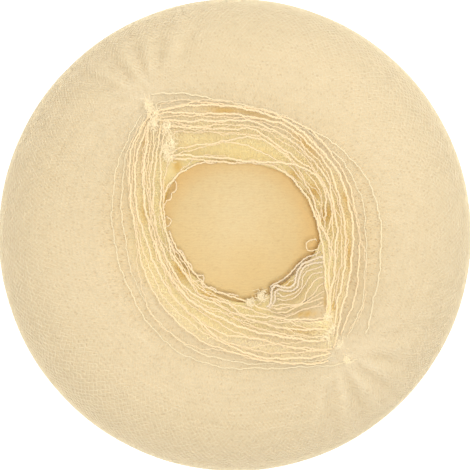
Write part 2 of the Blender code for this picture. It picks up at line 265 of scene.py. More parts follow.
# Painted shade: orange in the deep gaps between the strands, and broad patches that darken the right side:
# millimetres east and north of the mouth's middle, how far each reaches, and how strong it is.
PAINTED_SHADE_COLUMNS = ("east", "north", "along", "across", "turn", "strength")
PAINTED_SHADES = (
    (31.9, 6.9, 4.6, 2.6, 90, 1),
    (27.4, 15.8, 3.8, 2.4, 120, 0.8),
    (19.6, 21.9, 3, 2, 120, 0.7),
    (26.5, 1, 4.6, 1.6, 80, 0.8),
    (25, -8, 3, 1.6, 55, 0.6),
    (17.2, -19.6, 1.6, 1.6, 0, 0.9),
    (-24, -14.8, 4.4, 1.8, 125, 1),
    (-12.9, -23.8, 5, 1.6, 155, 0.9),
    (-38, 8.2, 4, 1.2, 95, 0.8),
    (-37.8, 34, 8, 1.1, 82, 0.6),
    (-25.4, 25.4, 2.6, 1.8, 90, 0.8),
    (-29.8, 13.4, 5.6, 1.5, 80, 0.9),
    (34.5, -28.2, 2.4, 1.8, 90, 0.8),
    (31.2, -26.6, 3, 1, 90, 0.6),
    (-7.4, 47.2, 7, 1.2, 0, 0.9),
    (5, 45.2, 8, 1, -12, 0.8),
    (24, 34, 8, 1.4, -48, 0.7),
    (24, -31.4, 5, 1.2, 5, 0.8),
    (22, -37.6, 6, 1.2, -5, 0.7),
    (40.5, -8, 9, 0.9, 92, 0.8),
    (39.5, 12, 9, 1, 100, 0.7),
    (36, 4, 15, 5, 88, 0.28),
    (29, 23, 11, 5, 125, 0.24),
    (35, -20, 11, 4.5, 85, 0.28),
    (14, -38, 16, 4, -8, 0.12),
    (20, -23, 6, 3.4, 40, 0.35),
)

# Tufts at the gathers, three at each: the bearing that each one's fibres spread along.
TUFT_BEARINGS = (97.0, 84.0, 110.0, 93.0, 82.0, 104.0)

# Fibres in a ball of fluff, and in a patch and a tuft at the upper and at the lower gather.
BALL_FIBRES = 130
PATCH_FIBRES = (45, 22)
TUFT_FIBRES = (60, 22)
FLUFF_RADIUS = 0.00008
TUFT_FIBRE_RADIUS = 0.00007
TUFT_FIBRE_LENGTH = 0.0030

# The crown's loose inner ply.
CROWN_PLY_RADIUS = 0.041
CROWN_PLY_RISE = 0.0075
CROWN_PLY_THICKNESS = 0.0008
CROWN_PLY_ROWS = 26

# The camera straight above the cap, and the lights: where each stands, its width and its power.
CAMERA_HEIGHT = 2.602
CAMERA_LENS = 500.0
LIGHTS = (
    ("overhead_light", (0.018, -0.015, 2.65), 0.08, 53.5),
    ("window_light", (0.7, 1.0, 1.5), 1.6, 9.0),
)

UP = np.array([0.0, 0.0, 1.0])


def millimetres(value):
    """A size in metres from one in millimetres."""
    return value * 0.001


def records(columns, table):
    """Each row of a table with its values named by their columns."""
    return [dict(zip(columns, row)) for row in table]


# Shape of the cap.

def smooth_between(before, start, end, after, share):
    """Smooth curve value between start and end, led by their neighbours."""
    lead_in = (end - before) * 0.5
    lead_out = (after - start) * 0.5
    square = share * share
    cube = square * share
    return (
        start
        + lead_in * share
        + ((end - start) * 3.0 - lead_in * 2.0 - lead_out) * square
        + (lead_in + lead_out - (end - start) * 2.0) * cube
    )


def mouth_reach(bearing):
    """Distance from the mouth's middle to its edge."""
    outline = np.array(MOUTH_OUTLINE)
    place = np.mod(bearing, 360.0) * len(outline) / 360.0
    index = np.floor(place).astype(int)
    near = [outline[(index + offset) % len(outline)] for offset in (-1, 0, 1, 2)]
    return MOUTH_RADIUS * smooth_between(*near, place - index)


def outline_reach(bearing):
    """Distance from the mouth's middle to the cap's round outline."""
    angle = np.radians(bearing)
    along = MOUTH_OFFSET_X * np.cos(angle) + MOUTH_OFFSET_Y * np.sin(angle)
    spare = CAP_RADIUS ** 2 - MOUTH_OFFSET_X ** 2 - MOUTH_OFFSET_Y ** 2
    return np.sqrt(along ** 2 + spare) - along


def plan_point(bearing, reach):
    """East and north of a point at a bearing and distance from the mouth's middle."""
    angle = np.radians(bearing)
    return MOUTH_OFFSET_X + reach * np.cos(angle), MOUTH_OFFSET_Y + reach * np.sin(angle)


def polar(east, north):
    """Bearing and distance of a point east and north of a middle."""
    return np.degrees(np.arctan2(north, east)), np.hypot(east, north)


def collar_share(bearing, reach):
    """How far out a point is on the collar: 0 at the mouth's edge, 1 at the outline."""
    inner = mouth_reach(bearing)
    return (reach - inner) / (outline_reach(bearing) - inner)


def collar_height(share):
    """Height of the net's outer face on the collar."""
    dip = MOUTH_DIP * (np.clip(CREST_SHARE - share, 0.0, None) / CREST_SHARE) ** 2
    out = np.clip((share - CREST_SHARE) / (1.0 - CREST_SHARE), 0.0, 1.0)
    rise = (1.0 - out ** SHOULDER_SQUARENESS) ** (1.0 / SHOULDER_SQUARENESS)
    return WIDEST_HEIGHT + (COLLAR_HEIGHT - WIDEST_HEIGHT) * rise - dip


def gather_root(gather):
    """East and north of the point where a gather's creases meet."""
    bearing = GATHER_BEARINGS[gather] + GATHER_DRIFTS[gather]
    inner = mouth_reach(bearing)
    return plan_point(bearing, inner + (outline_reach(bearing) - inner) * CREASE_ROOT_SHARE)


def about_gather(gather, aim, east, north):
    """Distance of a point from a gather's root, and how far in degrees it lies off the aim."""
    root_east, root_north = gather_root(gather)
    turn, arm = polar(east - root_east, north - root_north)
    return arm, np.mod(turn - aim + 180.0, 360.0) - 180.0


def crease_height(east, north, share):
    """Height that the fans of creases add to the collar."""
    span = np.clip((share - CREASE_START_SHARE) / (1.0 - CREASE_START_SHARE), 0.0, 1.0)
    height = np.zeros_like(east)
    for gather, bearing in GATHER_BEARINGS.items():
        arm, side = about_gather(gather, bearing + GATHER_DRIFTS[gather], east, north)
        side = side / CREASE_FAN_HALF_ANGLE
        wave = np.cos(math.pi * CREASES_IN_FAN * side)
        edge = np.cos(0.5 * math.pi * np.clip(side, -1.0, 1.0))
        height += CREASE_DEPTH * wave * edge * np.exp(-((arm / CREASE_REACH) ** 2))
    return height * np.sin(math.pi * span)


def side_ring(share):
    """Radius and height of the lower side: 0 is the flat crown, 1 the widest ring."""
    angle = 0.5 * math.pi * (1.0 - share)
    power = 2.0 / SIDE_SQUARENESS
    radius = CROWN_FLAT_RADIUS + (CAP_RADIUS - CROWN_FLAT_RADIUS) * np.cos(angle) ** power
    return radius, WIDEST_HEIGHT * (1.0 - np.sin(angle) ** power)


def share_at(station):
    """Collar share at a station from 2, the widest ring, to 3, the mouth, and just past it."""
    climb = np.clip(station - 2.0, 0.0, 1.0)
    return np.cos(0.5 * math.pi * climb) ** COLLAR_ROW_SPREAD - np.maximum(station - 3.0, 0.0)


def station_at(share):
    """Station of a collar share, past the mouth's edge where it is below 0."""
    climb = np.arccos(np.clip(share, 0.0, 1.0) ** (1.0 / COLLAR_ROW_SPREAD)) * 2.0 / math.pi
    return 2.0 + climb - np.minimum(share, 0.0)


def net_point(bearing, station):
    """The net's outer face. Station 0 is the crown's middle, 1 its edge, 2 the widest ring, 3 the mouth."""
    bearing, station = np.broadcast_arrays(np.asarray(bearing, float), np.asarray(station, float))
    rim_east, rim_north = plan_point(bearing, outline_reach(bearing))
    radius, low = side_ring(np.clip(station - 1.0, 0.0, 1.0))
    radius = np.where(station < 1.0, CROWN_FLAT_RADIUS * np.abs(station), radius) / CAP_RADIUS
    share = share_at(station)
    inner = mouth_reach(bearing)
    east, north = plan_point(bearing, inner + (outline_reach(bearing) - inner) * share)
    high = collar_height(share) + crease_height(east, north, share)
    lower = station < 2.0
    return np.stack(
        [
            np.where(lower, rim_east * radius, east),
            np.where(lower, rim_north * radius, north),
            np.where(lower, low, high),
        ],
        axis=-1,
    )


def net_place(bearing, station, lift):
    """Point at a distance outside the net's outer face, or inside it where lift is below 0."""
    turn = net_point(bearing + 0.4, station) - net_point(bearing - 0.4, station)
    climb = net_point(bearing, station + 0.004) - net_point(bearing, station - 0.004)
    face = np.cross(turn, climb)
    size = np.linalg.norm(face, axis=-1, keepdims=True)
    face = np.where(size > 1e-12, face / np.maximum(size, 1e-12), np.array([0.0, 0.0, -1.0]))
    return net_point(bearing, station) + face * np.asarray(lift)[..., None]


def crowded(turn):
    """Bearing of a place round the cap, from 0 to 1. The knit crowds towards the gathers."""
    angle = np.asarray(turn) * math.tau
    axis = math.radians(sum(GATHER_BEARINGS.values()) * 0.5 + 90.0)
    return np.degrees(angle - 0.5 * NET_CROWDING * np.sin(2.0 * (angle - axis)))


def lengths_along(line):
    """Distance from a line's start to each of its points."""
    return np.concatenate([[0.0], np.cumsum(np.linalg.norm(np.diff(line, axis=0), axis=1))])


def even_stations(first, last, pitch):
    """Stations from first to last, evenly spaced along the net."""
    fine = np.linspace(first, last, 4000)
    length = lengths_along(net_point(60.0, fine))
    steps = max(2, round(length[-1] / pitch))
    return np.interp(np.linspace(0.0, length[-1], steps + 1), length, fine), length[-1]


# Making pieces.

def add_piece(name, mesh, material, slot, *nodes):
    """Link a finished mesh as a piece of the cap."""
    piece = bpy.data.objects.new(name, mesh)
    mesh.materials.clear()
    mesh.materials.append(material)
    bpy.context.scene.collection.objects.link(piece)
    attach(piece, "root")
    if nodes:
        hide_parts(*nodes)
    return piece


def spun_sheet(name, rows, columns):
    """A flat ring sheet made by spinning a row of points, with each point's row and turn."""
    shape = bmesh.new()
    points = [shape.verts.new((row + 1.0, 0.0, 0.0)) for row in range(rows)]
    line = [shape.edges.new(pair) for pair in zip(points, points[1:])]
    bmesh.ops.spin(
        shape, geom=points + line, axis=(0.0, 0.0, 1.0), cent=(0.0, 0.0, 0.0),
        steps=columns, angle=math.tau, use_merge=True,
    )
    mesh = bpy.data.meshes.new(name)
    shape.to_mesh(mesh)
    shape.free()
    flat = np.empty(len(mesh.vertices) * 3)
    mesh.vertices.foreach_get("co", flat)
    flat = flat.reshape(-1, 3)
    row = np.rint(np.hypot(flat[:, 0], flat[:, 1]) - 1.0).astype(int)
    turn = np.mod(np.arctan2(flat[:, 1], flat[:, 0]) / math.tau, 1.0)
    return mesh, row, turn


def lay_knit_map(mesh, turn, height):
    """UV map that follows the knit: turns round the cap and distance from the crown."""
    corners = np.empty(len(mesh.loops), int)
    mesh.loops.foreach_get("vertex_index", corners)
    corners = corners.reshape(-1, 4)
    across = turn[corners]
    wraps = across.max(axis=1, keepdims=True) > 0.75
    across = np.where((across < 0.25) & wraps, across + 1.0, across)
    chart = np.stack([across, height[corners]], axis=-1)
    mesh.uv_layers.new(name="knit").data.foreach_set("uv", chart.ravel())


def set_points(mesh, places):
    """Move a mesh's points to their places."""
    mesh.vertices.foreach_set("co", np.asarray(places, float).ravel())
    mesh.update()


def point_values(mesh, name, values):
    """Store one value for each of a mesh's points."""
    mesh.attributes.new(name, "FLOAT", "POINT").data.foreach_set("value", np.asarray(values, float))


def close_up(mesh, distance=1e-6, smooth=True):
    """Merge doubled points, as at the poles, and turn every face outwards."""
    shape = bmesh.new()
    shape.from_mesh(mesh)
    bmesh.ops.remove_doubles(shape, verts=shape.verts, dist=distance)
    bmesh.ops.recalc_face_normals(shape, faces=shape.faces)
    shape.to_mesh(mesh)
    shape.free()
    if smooth:
        mesh.shade_smooth()
    else:
        mesh.shade_flat()
    return mesh


def thread_section(sides):
    """A closed outline of unit radius, for the section of a thread."""
    line = bpy.data.curves.new("thread_section", "CURVE")
    ring = line.splines.new("POLY")
    ring.points.add(sides - 1)
    for index, point in enumerate(ring.points):
        angle = math.tau * index / sides
        point.co = (math.cos(angle), math.sin(angle), 0.0, 1.0)
    ring.use_cyclic_u = True
    return bpy.data.objects.new("thread_section", line)


def thread_mesh(name, lines, radius, sides=3, closed=False):
    """Joined mesh of threads along lines of points, with one radius for all or one for each line.
    A thread of three sides is too fine to shade round, so its sides stay flat."""
    curve = bpy.data.curves.new(name, "CURVE")
    curve.dimensions = "3D"
    section = thread_section(sides)
    curve.bevel_mode = "OBJECT"
    curve.bevel_object = section
    curve.use_fill_caps = not closed
    radii = np.broadcast_to(radius, len(lines))
    for line, size in zip(lines, radii):
        spline = curve.splines.new("POLY")
        spline.points.add(len(line) - 1)
        spline.points.foreach_set("co", np.c_[line, np.ones(len(line))].ravel())
        spline.points.foreach_set("radius", np.full(len(line), size))
        spline.use_cyclic_u = closed
    carrier = bpy.data.objects.new(name, curve)
    bpy.context.scene.collection.objects.link(carrier)
    depsgraph = bpy.context.evaluated_depsgraph_get()
    mesh = bpy.data.meshes.new_from_object(carrier.evaluated_get(depsgraph))
    mesh.name = name
    for old in (carrier, section):
        bpy.data.objects.remove(old, do_unlink=True)
    return close_up(mesh, 1e-7, sides > 3)


# Materials.

def feed(tree, socket, value):
    """Link an input to an output, or set it. A colour is given without its alpha."""
    if isinstance(value, bpy.types.NodeSocket):
        tree.links.new(value, socket)
    else:
        socket.default_value = (*value, 1.0) if socket.type == "RGBA" else value


def set_inputs(node, inputs):
    """Set or link a node's inputs."""
    for name, value in inputs.items():
        feed(node.id_data, node.inputs[name], value)
    return node


def add_node(tree, kind, inputs=None, **settings):
    """A shader node with its settings, and its inputs set or linked."""
    node = tree.nodes.new("ShaderNode" + kind)
    for name, value in settings.items():
        setattr(node, name, value)
    return set_inputs(node, inputs or {})


def maths(tree, operation, *values):
    """Output of a Math node."""
    return add_node(tree, "Math", dict(enumerate(values)), operation=operation).outputs[0]


def plus(tree, first, second):
    """Two values added."""
    return maths(tree, "ADD", first, second)


def times(tree, first, second):
    """Two values multiplied."""
    return maths(tree, "MULTIPLY", first, second)


def slope(tree, value, start, end):
    """A value as a share, from 0 at the start to 1 at the end."""
    return add_node(tree, "MapRange", {"Value": value, "From Min": start, "From Max": end}).outputs[0]


def noise(tree, place, scale, detail=3.0, roughness=0.5):
    """Soft random noise."""
    inputs = {"Vector": place, "Scale": scale, "Detail": detail, "Roughness": roughness}
    return add_node(tree, "TexNoise", inputs).outputs[0]


def distance(tree, place, middle):
    """Distance of a place from a middle."""
    return add_node(tree, "VectorMath", {0: place, 1: middle}, operation="DISTANCE").outputs["Value"]


def stored(tree, name):
    """The value stored for each point of a piece."""
    return add_node(tree, "Attribute", attribute_name=name).outputs["Fac"]


def object_place(tree):
    """Place on the piece."""
    return add_node(tree, "TexCoord").outputs["Object"]


def layered(tree, colour, *layers):
    """A colour with others laid over it in turn, each by its own share."""
    for share, over in layers:
        colour = add_node(tree, "Mix", {0: share, 6: colour, 7: over}, data_type="RGBA").outputs[2]
    return colour


def new_group(name, inputs, outputs):
    """A shader node group with named sockets. An input without a value is a vector."""
    tree = bpy.data.node_groups.new(name, "ShaderNodeTree")
    for label, value in inputs.items():
        kind = "NodeSocketVector" if value is None else "NodeSocketFloat"
        socket = tree.interface.new_socket(label, in_out="INPUT", socket_type=kind)
        if value is not None:
            socket.default_value = value
    for label in outputs:
        tree.interface.new_socket(label, in_out="OUTPUT", socket_type="NodeSocketFloat")
    return tree, tree.nodes.new("NodeGroupInput").outputs, tree.nodes.new("NodeGroupOutput").inputs


def use_group(tree, group, inputs):
    """Place a node group in a material."""
    return add_node(tree, "Group", inputs, node_tree=group).outputs


def knit_group():
    """Plain knit: each stitch is two slanted strokes that lean together, round a small hole."""
    tree, given, out = new_group(
        "plain_knit",
        {"Place": None, "Wales": 300.0, "Courses": 130.0, "Slant": 0.8, "Wobble": 24.0},
        ("Thread", "Hole", "Height"),
    )
    split = add_node(tree, "SeparateXYZ", {"Vector": given["Place"]}).outputs
    wobble = noise(tree, given["Place"], given["Wobble"])
    wale = plus(tree, times(tree, split["X"], given["Wales"]), times(tree, wobble, 3.0))
    course = plus(tree, times(tree, split["Y"], given["Courses"]), times(tree, wobble, 2.5))
    lean = maths(tree, "PINGPONG", wale, 0.5)
    stroke = plus(tree, course, times(tree, lean, times(tree, given["Slant"], 2.0)))
    wave = maths(tree, "COSINE", times(tree, stroke, math.tau))
    band = plus(tree, times(tree, wave, 0.5), 0.5)
    groove = maths(tree, "ABSOLUTE", plus(tree, times(tree, lean, 4.0), -1.0))
    body = plus(tree, times(tree, maths(tree, "POWER", groove, 4.0), -0.7), 1.0)
    thread = times(tree, band, body)
    grid = add_node(tree, "CombineXYZ", {"X": wale, "Y": course}).outputs[0]
    cells = add_node(tree, "TexVoronoi", {"Vector": grid, "Scale": 1.0, "Randomness": 0.75})
    hole = slope(tree, cells.outputs["Distance"], 0.42, 0.08)
    feed(tree, out["Thread"], thread)
    feed(tree, out["Hole"], hole)
    feed(tree, out["Height"], maths(tree, "SUBTRACT", thread, hole))
    return tree


def fibre_group():
    """Fine fibre: a soft mottle of light and dark, and its relief."""
    tree, given, out = new_group("fibre_mottle", {"Place": None, "Pitch": 0.001}, ("Mottle", "Height"))
    mottle = noise(tree, given["Place"], maths(tree, "DIVIDE", 1.0, given["Pitch"]), roughness=0.6)
    feed(tree, out["Mottle"], mottle)
    feed(tree, out["Height"], mottle)
    return tree


def thin_textile(name, roughness, sheen, glow_share):
    """A thin textile: its material and tree, its face, and the shader of the light it lets through."""
    material = bpy.data.materials.new(name)
    material.use_nodes = True
    tree = material.node_tree
    face = tree.nodes["Principled BSDF"]
    set_inputs(face, {
        "Roughness": roughness, "Sheen Weight": sheen, "Sheen Roughness": 0.5, "Specular IOR Level": 0.25,
    })
    through = add_node(tree, "BsdfTranslucent")
    both = add_node(tree, "MixShader", {0: glow_share, 1: face.outputs[0], 2: through.outputs[0]})
    feed(tree, tree.nodes["Material Output"].inputs["Surface"], both.outputs[0])
    return material, tree, face, through


def finish_textile(tree, face, through, colour, height, strength, depth):
    """Give a textile its colour, the same in the light it lets through, and its relief."""
    feed(tree, face.inputs["Base Color"], colour)
    feed(tree, through.inputs["Color"], colour)
    bump = add_node(tree, "Bump", {"Height": height, "Strength": strength, "Distance": depth})
    feed(tree, face.inputs["Normal"], bump.outputs[0])


def cloth_material(knit):
    """The knitted cloth: cream, with painted warm shade towards the mouth and painted orange shade in the
    gaps between the strands, and painted light in pale streaks where its creases fan out.
    """
    material, tree, *faces = thin_textile("knitted_cloth", 0.8, 0.2, 0.42)
    chart = add_node(tree, "UVMap", uv_map="knit").outputs[0]
    stitch = use_group(
        tree, knit, {"Place": chart, "Wales": 360.0, "Courses": 130.0, "Slant": 0.6, "Wobble": 30.0}
    )
    open_net = stored(tree, "open_net")
    tint = layered(
        tree, (0.79, 0.685, 0.465),
        # painted shade: warmer towards the mouth, where the plies lie deeper in shade
        (stored(tree, "warmth"), (0.98, 0.85, 0.41)),
        # painted light: pale streaks where the creases fan out
        (stored(tree, "fan"), (0.93, 0.84, 0.64)),
        (times(tree, noise(tree, object_place(tree), 35.0), 0.25), (0.90, 0.80, 0.60)),
        (plus(tree, times(tree, stitch["Thread"], -0.15), 0.15), (0.72, 0.50, 0.24)),
        (times(tree, open_net, 0.35), (0.88, 0.70, 0.38)),
        (times(tree, stitch["Hole"], plus(tree, times(tree, open_net, 0.65), 0.34)), (0.58, 0.42, 0.22)),
        # painted shade: orange in the gaps between the strands
        (stored(tree, "painted_shade"), (0.74, 0.47, 0.10)),
    )
    finish_textile(tree, *faces, tint, stitch["Height"], 0.5, 0.0003)
    return material


def crown_material(knit):
    """The crown's inner ply, deep in the mouth: paler in the middle, with painted warm shade towards its
    rim and lower side.
    """
    material, tree, *faces = thin_textile("crown_ply", 0.85, 0.2, 0.3)
    place = object_place(tree)
    stitch = use_group(
        tree, knit, {"Place": place, "Wales": 620.0, "Courses": 900.0, "Slant": 0.2, "Wobble": 420.0}
    )
    # Painted shade: warmer out towards the rim and on the lower side, where the collar shades the ply.
    outer = slope(tree, distance(tree, place, (0.0, 0.008, 0.0)), 0.006, 0.040)
    lower = slope(tree, distance(tree, place, (0.005, -0.009, 0.0)), 0.013, 0.004)
    speck = slope(tree, noise(tree, place, 650.0, 2.0), 0.45, 0.68)
    gap = plus(tree, times(tree, stitch["Thread"], -0.12), 0.12)
    # painted shade: orange at the rim, under the mouth's edge
    rim = slope(tree, distance(tree, place, (0.0, 0.0, 0.0)), 0.025, 0.037)
    tint = layered(
        tree, (0.98, 0.87, 0.56),
        (noise(tree, place, 45.0, 1.0), (0.99, 0.91, 0.63)),
        (plus(tree, times(tree, outer, 0.9), times(tree, lower, 0.3)), (0.93, 0.73, 0.33)),
        (times(tree, speck, 0.16), (0.80, 0.60, 0.30)),
        (plus(tree, gap, times(tree, stitch["Hole"], 0.16)), (0.70, 0.50, 0.24)),
        (times(tree, rim, 0.75), (0.92, 0.62, 0.22)),
    )
    finish_textile(tree, *faces, tint, stitch["Height"], 0.25, 0.0002)
    return material


def yarn_material(name, fibre, dark, light, glow_share, sheen=0.3, pitch=0.0012, shade=None):
    """Yarn with a mottle between two colours, and painted shade for the gaps between strands."""
    material, tree, *faces = thin_textile(name, 0.65, sheen, glow_share)
    grain = use_group(tree, fibre, {"Place": object_place(tree), "Pitch": pitch})
    tint = layered(tree, dark, (slope(tree, grain["Mottle"], 0.35, 0.65), light))
    if shade:
        tint = layered(tree, tint, (stored(tree, "painted_shade"), shade))
    finish_textile(tree, *faces, tint, grain["Height"], 0.4, 0.0001)
    return material


# The cloth.

def warmth_at(bearing, share, rng):
    """How warm the cloth is painted: painted shade where its plies lie deeper in shade towards the mouth.
    """
    ripple = sum(
        np.cos(np.radians(bearing) * turns + phase) / turns
        for turns, phase in zip((3, 5, 8, 13), rng.uniform(0.0, math.tau, 4))
    )
    edge = 0.24 + 0.05 * ripple
    return np.clip(1.0 - share / edge, 0.0, 1.0) ** 0.6


def crease_light_at(east, north):
    """Painted light: pale streaks along the creases that fan out from the two gathers, lifting the shade
    where the knit crowds.
    """
    streak = np.zeros_like(east)
    for gather, aim, spread, fade, base in (
        ("gather_a", 150.0, 95.0, 0.024, 0.55),
        ("gather_b", -42.0, 85.0, 0.050, 0.75),
    ):
        arm, side = about_gather(gather, aim, east, north)
        inside = np.clip(1.0 - np.abs(side) / spread, 0.0, 1.0) ** 0.7
        around = np.radians(side)
        lines = base + (1.0 - base) * np.cos(around * 23.0 + 1.7 * np.sin(around * 7.0))
        streak += inside * lines * np.exp(-arm / fade) * np.clip(arm / 0.004, 0.0, 1.0)
    return np.clip(streak, 0.0, 1.0)


def open_net_at(east, north):
    """How far the stitches are drawn open, between the outer strands of the hem."""
    side_east, side_north = east - MOUTH_OFFSET_X, north - MOUTH_OFFSET_Y
    reach, turn = np.hypot(side_east, side_north), np.arctan2(side_north, side_east)
    ring = np.exp(-(((reach - 0.0475) / 0.0065) ** 2))
    return ring * (0.62 + 0.38 * np.cos(2.0 * turn + 0.6))


def painted_shade_at(east, north):
    """How deep the painted orange shade of the gaps between the strands is, and of the broad patches on the
    right.
    """
    depth = np.zeros_like(east)
    for painted_shade in records(PAINTED_SHADE_COLUMNS, PAINTED_SHADES):
        turn = math.radians(painted_shade["turn"])
        side_east = (east - MOUTH_OFFSET_X) * 1000.0 - painted_shade["east"]
        side_north = (north - MOUTH_OFFSET_Y) * 1000.0 - painted_shade["north"]
        along = (side_east * math.cos(turn) + side_north * math.sin(turn)) / painted_shade["along"]
        across = (side_north * math.cos(turn) - side_east * math.sin(turn)) / painted_shade["across"]
        depth = np.maximum(depth, painted_shade["strength"] * np.exp(-(along ** 2 + across ** 2)))
    return depth


def build_cloth(material, rng):
    """The whole knitted cloth: outer face, rolled edge at the mouth, and lining face."""
    outer, _ = even_stations(0.0, 3.0, CLOTH_ROW_PITCH)
    lining, _ = even_stations(0.0, 3.0, LINING_ROW_PITCH)
    roll = np.radians((30.0, 60.0, 90.0, 120.0, 150.0))
    edge = 3.0 + 0.5 * NET_THICKNESS * np.sin(roll) / (CAP_RADIUS - MOUTH_RADIUS)
    edge_lift = 0.5 * NET_THICKNESS * (np.cos(roll) - 1.0)
    stations = np.concatenate([outer, edge, lining[::-1]])
    lifts = np.concatenate([np.zeros(len(outer)), edge_lift, np.full(len(lining), -NET_THICKNESS)])
    mesh, row, turn = spun_sheet("knitted_cloth", len(stations), CLOTH_COLUMNS)
    bearing = crowded(turn)
    share = share_at(stations[row])
    upper = stations[row] >= 2.0
    warmth = np.where(upper, warmth_at(bearing, share, rng), 0.0)
    places = net_place(bearing, stations[row], lifts[row] - MOUTH_SAG * warmth)
    set_points(mesh, places)
    climb = np.interp(stations, outer, np.linspace(0.0, 1.0, len(outer)))
    lay_knit_map(mesh, turn, climb[row])
    point_values(mesh, "warmth", warmth)
    # Painted light of the fanned creases, the open stitches, and painted shade of the gaps.
    for name, value_at in (("fan", crease_light_at), ("open_net", open_net_at), ("painted_shade", painted_shade_at)):
        point_values(mesh, name, np.where(upper, value_at(places[:, 0], places[:, 1]), 0.0))
    return add_piece("knitted_cloth", close_up(mesh), material, "net", "net_body")


def build_crown_ply(material):
    """The crown's loose inner ply: a thin, gently domed round of net."""
    out = np.linspace(0.0, 1.0, CROWN_PLY_ROWS)
    out = np.concatenate([out, out[::-1]])
    mesh, row, turn = spun_sheet("crown_ply", len(out), 120)
    share, angle = out[row], turn * math.tau
    ripple = 0.0003 * np.sin(5.0 * angle + 9.0 * share) * share
    dome = CROWN_PLY_RISE * (1.0 - share ** 2) ** 1.2
    height = NET_THICKNESS * 1.1 + CROWN_PLY_THICKNESS + dome + ripple
    under = CROWN_PLY_THICKNESS * np.clip((1.0 - share) * 14.0, 0.15, 1.0)
    height = np.where(row >= CROWN_PLY_ROWS, height - under, height)
    reach = CROWN_PLY_RADIUS * share
    set_points(mesh, np.stack([reach * np.cos(angle), reach * np.sin(angle), height], axis=-1))
    return add_piece("crown_ply", close_up(mesh), material, "net")


# The knit of real threads.

def strand_rows():
    """All long hem strands, by name."""
    return {strand["name"]: strand for strand in records(STRAND_COLUMNS, STRANDS)}


def strand_polar(strand):
    """Bearings and distances along a strand, smoothly through its table."""
    fine = np.linspace(strand["from_bearing"], strand["to_bearing"], 400)
    knots = np.linspace(0.0, 1.0, len(strand["reaches"]))
    reach = np.interp(np.linspace(0.0, 1.0, len(fine)), knots, strand["reaches"])
    window = np.hanning(25)
    before, after = 2.0 * reach[0] - reach[12:0:-1], 2.0 * reach[-1] - reach[-2:-14:-1]
    padded = np.concatenate([before, reach, after])
    return fine, millimetres(np.convolve(padded, window / window.sum(), "valid"))


def ply_edge_share(upper, lower, bearing):
    """Collar share where the threads of a ply end, along an upper and a lower strand."""
    around, share = [], []
    for name in (upper, lower):
        line, reach = strand_polar(strand_rows()[name])
        around.append(np.mod(line, 360.0))
        share.append(collar_share(line, reach))
    around, share = np.concatenate(around), np.concatenate(share)
    order = np.argsort(around)
    return np.interp(np.mod(bearing, 360.0), around[order], share[order], period=360.0)


def knit_courses(first, last, wales, pitch, lift, skew, rng):
    """Zigzag courses of thread between two stations that may change round the cap."""
    points = np.arange(2 * wales)
    plain = crowded(points / points.size)
    first, last = np.broadcast_to(first, plain.shape), np.broadcast_to(last, plain.shape)
    _, length = even_stations(first.mean(), last.mean(), pitch)
    count = max(1, round(length / pitch))
    pace, _ = even_stations(first.mean(), last.mean(), length / count)
    pace = (pace - pace[0]) / (pace[-1] - pace[0])
    lines = []
    for course in range(count):
        zigzag = np.where((points + course) % 2 == 0, 1.0, -1.0)
        slack = 1.0 + 0.4 * np.clip(rng.standard_normal(points.size), -2.0, 2.0)
        below, above = pace[course], pace[course + 1]
        share = 0.5 * (below + above + (above - below) * zigzag * slack)
        jitter = 0.2 * rng.standard_normal(points.size)
        bearing = crowded((points + jitter + skew * course) / points.size)
        near, far = [
            np.interp(np.mod(bearing, 360.0), np.mod(plain, 360.0), edge, period=360.0)
            for edge in (first, last)
        ]
        station = near + (far - near) * np.clip(share, 0.0, 1.0)
        ripple = 1.0 + 0.35 * np.sin(np.radians(bearing) * 17.0 + course) + 0.35 * zigzag
        line = net_place(bearing, station, lift * ripple)
        line[:, 2] = np.maximum(line[:, 2], 1.2 * NET_THREAD_RADIUS)
        lines.append(line)
    return lines


def tier_edge(edge, count):
    """A tier's edge at so many even places round the cap. An edge of one station stays as it is."""
    if not np.ndim(edge):
        return edge
    wanted, known = [np.linspace(0, 1, size, endpoint=False) for size in (count, edge.size)]
    return np.interp(wanted, known, edge)


def build_net_threads(material, mouth_material, rng):
    """The net's threads in tiers, from the crown's edge to the mouth."""
    bearing = crowded(np.arange(2 * WALES) / (2.0 * WALES))
    outer_edge = station_at(ply_edge_share("upper_8", "lower_8", bearing))
    middle_edge = station_at(ply_edge_share("upper_6", "lower_6", bearing))
    inner_edge = station_at(ply_edge_share("upper_3_thin", "lower_4_thin", bearing))
    tiers = (
        ("net_threads_side", material, 1.03, 2.0, WALES, COURSE_PITCH, NET_THREAD_LIFT, 0.0),
        ("net_threads_shoulder", material, 2.0, 2.5, WALES, COURSE_PITCH, NET_THREAD_LIFT, 0.0),
        ("net_threads_collar", material, 2.5, outer_edge, WALES, COURSE_PITCH, 1.6 * NET_THREAD_LIFT, 0.0),
        ("mouth_ply_under", mouth_material, outer_edge, inner_edge, MOUTH_WALES, 0.0014, 0.0003, 0.5),
        ("mouth_ply_over", mouth_material, middle_edge, inner_edge, MOUTH_WALES, 0.0017, 0.0010, -0.6),
    )
    pieces = []
    for name, finish, first, last, wales, pitch, lift, skew in tiers:
        edges = [tier_edge(edge, 2 * wales) for edge in (first, last)]
        lines = knit_courses(*edges, wales, pitch, lift, skew, rng)
        mesh = thread_mesh(name, lines, NET_THREAD_RADIUS, closed=True)
        # The mouth's threads take the painted shade of the gaps too.
        if finish is mouth_material:
            places = np.empty(3 * len(mesh.vertices))
            mesh.vertices.foreach_get("co", places)
            point_values(mesh, "painted_shade", painted_shade_at(places[0::3], places[1::3]))
        pieces.append(add_piece(name, mesh, finish, "net"))
    return pieces


# The hem.

def resampled(line, step):
    """Points at even steps along a line."""
    length = lengths_along(line)
    even = np.linspace(0.0, length[-1], max(3, round(length[-1] / step)))
    return np.stack([np.interp(even, length, line[:, axis]) for axis in range(3)], axis=-1), even


